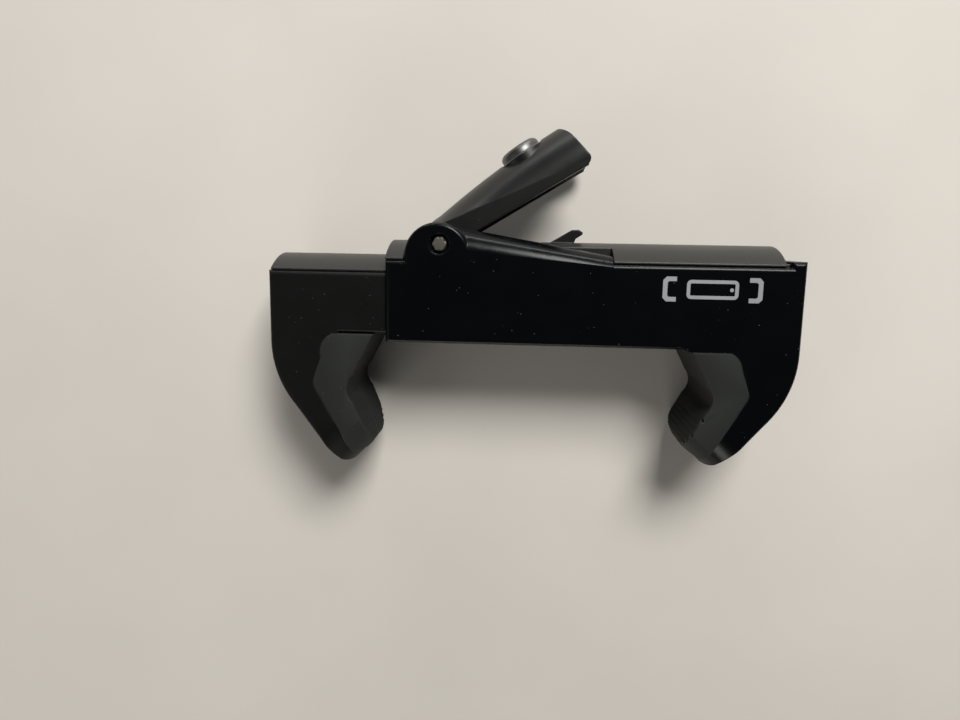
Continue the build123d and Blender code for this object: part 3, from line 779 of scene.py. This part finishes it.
def printed_frame(name, x_low, x_high, y_low, y_high, stroke, corner):
    """A flat rounded frame of ink: a rectangle with rounded corners and an open middle."""
    bpy.ops.object.select_all(action="DESELECT")
    middle = at((x_low + x_high) / 2, (y_low + y_high) / 2, THICKNESS + PRINT_HEIGHT)
    bpy.ops.mesh.primitive_plane_add(size=1, location=middle)
    ink = bpy.context.object
    ink.name = name
    ink.scale = ((x_high - x_low) * MM, (y_high - y_low) * MM, 1)
    apply_place(ink)
    edit(ink)
    bpy.ops.mesh.select_all(action="SELECT")
    bpy.ops.mesh.bevel(offset=corner * MM, segments=6, affect="VERTICES")
    bpy.ops.mesh.select_mode(type="FACE")
    bpy.ops.mesh.select_all(action="SELECT")
    bpy.ops.mesh.inset(thickness=stroke * MM)
    bpy.ops.mesh.delete(type="FACE")
    done()
    return ink


class CLAMP_OT_printed_mark(bpy.types.Operator):
    """Prints a generic pictogram on the near flank: a phone between two jaws"""
    bl_idname = "clamp.printed_mark"
    bl_label = "Printed mark"

    def execute(self, context):
        sizes = context.scene.clamp_sizes
        left = 21.0
        right = left + sizes.mark_width / MM
        low = 7.7
        high = low + sizes.mark_height / MM
        mid_y = (low + high) / 2
        phone = printed_frame("phone", left + 3.7, right - 3.7, low + 0.45, high - 0.45,
                              stroke=0.55, corner=0.7)
        pieces = [phone]
        for side, edge in ((1, left), (-1, right)):
            bracket = [(2.1, 0.0), (0.55, 0.0), (0.0, 0.55), (0.0, high - low - 0.55), (0.55, high - low),
                       (2.1, high - low), (2.1, high - low - 0.72), (0.95, high - low - 0.72),
                       (0.72, high - low - 0.95), (0.72, 0.95), (0.95, 0.72), (2.1, 0.72)]
            points = [at(edge + side * x, low + y, THICKNESS + PRINT_HEIGHT) for x, y in bracket]
            piece = draw_chain("bracket", points)
            bpy.ops.mesh.edge_face_add()
            done()
            pieces.append(piece)
        bpy.ops.object.select_all(action="DESELECT")
        bpy.ops.mesh.primitive_circle_add(vertices=24, radius=0.3 * MM, fill_type="NGON",
                                          location=at(right - 4.75, mid_y, THICKNESS + PRINT_HEIGHT))
        dot = bpy.context.object
        apply_place(dot)
        pieces.append(dot)
        mark = join("printed_mark", pieces)
        edit(mark)
        bpy.ops.mesh.select_all(action="SELECT")
        bpy.ops.mesh.normals_make_consistent(inside=False)
        bpy.ops.mesh.extrude_region_move(TRANSFORM_OT_translate={"value": (0, 0, -0.03 * MM)})
        bpy.ops.mesh.select_all(action="SELECT")
        bpy.ops.mesh.normals_make_consistent(inside=False)
        done()
        ink = finish_material("mark_ink", context.scene.clamp_colours.mark, 0.6, specular=0.3, wear=0.0,
                              grain=(0.12, 0.000006), dust=(0.8, 0.05, 0.1), scratches=0.2,
                              radius=0.00003)
        dress(mark, ink)
        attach(mark, "body")
        return {"FINISHED"}


LIGHTS = (
    ("window_light", (0.15, 0.37, 0.44), 0.22, 0.22, 3.2, (1.0, 0.99, 0.97)),
    ("low_light", (-0.04, 0.62, 0.12), 0.60, 0.06, 1.4, (0.97, 0.99, 1.0)),
    ("left_light", (-0.36, -0.16, 0.34), 0.26, 0.26, 0.14, (1.0, 0.98, 0.94)),
    ("front_fill", (-0.10, -0.46, 0.16), 0.40, 0.12, 0.6, (1.0, 0.97, 0.93)),
)


class CLAMP_OT_stage(bpy.types.Operator):
    """Sets the pale floor, the soft lights and the camera"""
    bl_idname = "clamp.stage"
    bl_label = "Stage"

    def execute(self, context):
        scene = context.scene
        bpy.ops.object.select_all(action="DESELECT")
        bpy.ops.mesh.primitive_plane_add(size=3.0, location=(0, 0, -0.0001))
        floor = bpy.context.object
        floor.name = "floor"
        apply_place(floor)
        paper = bpy.data.materials.new("pale_floor")
        paper.use_nodes = True
        tree = paper.node_tree
        shader = tree.nodes["Principled BSDF"]
        shader.inputs["Specular IOR Level"].default_value = 0.2
        shader.inputs["Roughness"].default_value = 0.75
        tone = ramp(tree, -1, 0, noise(tree, -2, 0, millimetres(tree), 0.02, 5.0), 0.25, 0.75)
        colour = scene.clamp_colours.floor
        mottled = mix_colour(tree, 0, 0, tone, rgba(colour, 0.97), rgba(colour, 1.03))
        tree.links.new(mottled, shader.inputs["Base Color"])
        dress(floor, paper)
        target = Vector((0, 0, 0.008))
        for name, place, width, height, power, colour in LIGHTS:
            lamp = bpy.data.lights.new(name, "AREA")
            lamp.shape = "RECTANGLE"
            lamp.size = width
            lamp.size_y = height
            lamp.energy = power
            lamp.color = colour
            holder = bpy.data.objects.new(name, lamp)
            scene.collection.objects.link(holder)
            holder.location = place
            holder.rotation_euler = (target - Vector(place)).to_track_quat("-Z", "Y").to_euler()
        world = bpy.data.worlds.new("soft_room")
        world.use_nodes = True
        room = world.node_tree.nodes["Background"]
        room.inputs["Color"].default_value = (0.9, 0.95, 1.0, 1.0)
        room.inputs["Strength"].default_value = 0.05
        scene.world = world
        camera = bpy.data.cameras.new("camera")
        camera.sensor_width = 36.0
        camera.lens = 27.75
        camera.clip_start = 0.001
        camera.clip_end = 20.0
        holder = bpy.data.objects.new("camera", camera)
        scene.collection.objects.link(holder)
        holder.location = Vector(CAMERA_PLACE) * MM
        holder.rotation_euler = Euler([radians(turn) for turn in CAMERA_TURN])
        scene.camera = holder
        scene.view_settings.view_transform = "Standard"
        return {"FINISHED"}


OPERATORS = (CLAMP_OT_finishes, CLAMP_OT_grips, CLAMP_OT_jaw_springs, CLAMP_OT_catch_spring,
             CLAMP_OT_tripod_socket, CLAMP_OT_printed_mark, CLAMP_OT_stage)


class VIEW3D_PT_clamp(bpy.types.Panel):
    """Lists the clamp's sizes, colours and operators"""
    bl_label = "Phone clamp"
    bl_space_type = "VIEW_3D"
    bl_region_type = "UI"
    bl_category = "Clamp"

    def draw(self, context):
        for group in (context.scene.clamp_sizes, context.scene.clamp_colours):
            box = self.layout.box()
            for name in group.__annotations__:
                box.prop(group, name)
        for operator in OPERATORS:
            self.layout.operator(operator.bl_idname)


CLASSES = (ClampSizes, ClampColours) + OPERATORS + (VIEW3D_PT_clamp,)


def register():
    for item in CLASSES:
        bpy.utils.register_class(item)
    bpy.types.Scene.clamp_sizes = PointerProperty(type=ClampSizes)
    bpy.types.Scene.clamp_colours = PointerProperty(type=ClampColours)


def unregister():
    del bpy.types.Scene.clamp_colours
    del bpy.types.Scene.clamp_sizes
    for item in reversed(CLASSES):
        bpy.utils.unregister_class(item)


def main():
    """Builds every piece and the stage."""
    register()
    bpy.ops.clamp.finishes()
    bpy.ops.clamp.grips()
    bpy.ops.clamp.jaw_springs()
    bpy.ops.clamp.catch_spring()
    bpy.ops.clamp.tripod_socket()
    bpy.ops.clamp.printed_mark()
    bpy.ops.clamp.stage()


if __name__ == "__main__":
    main()
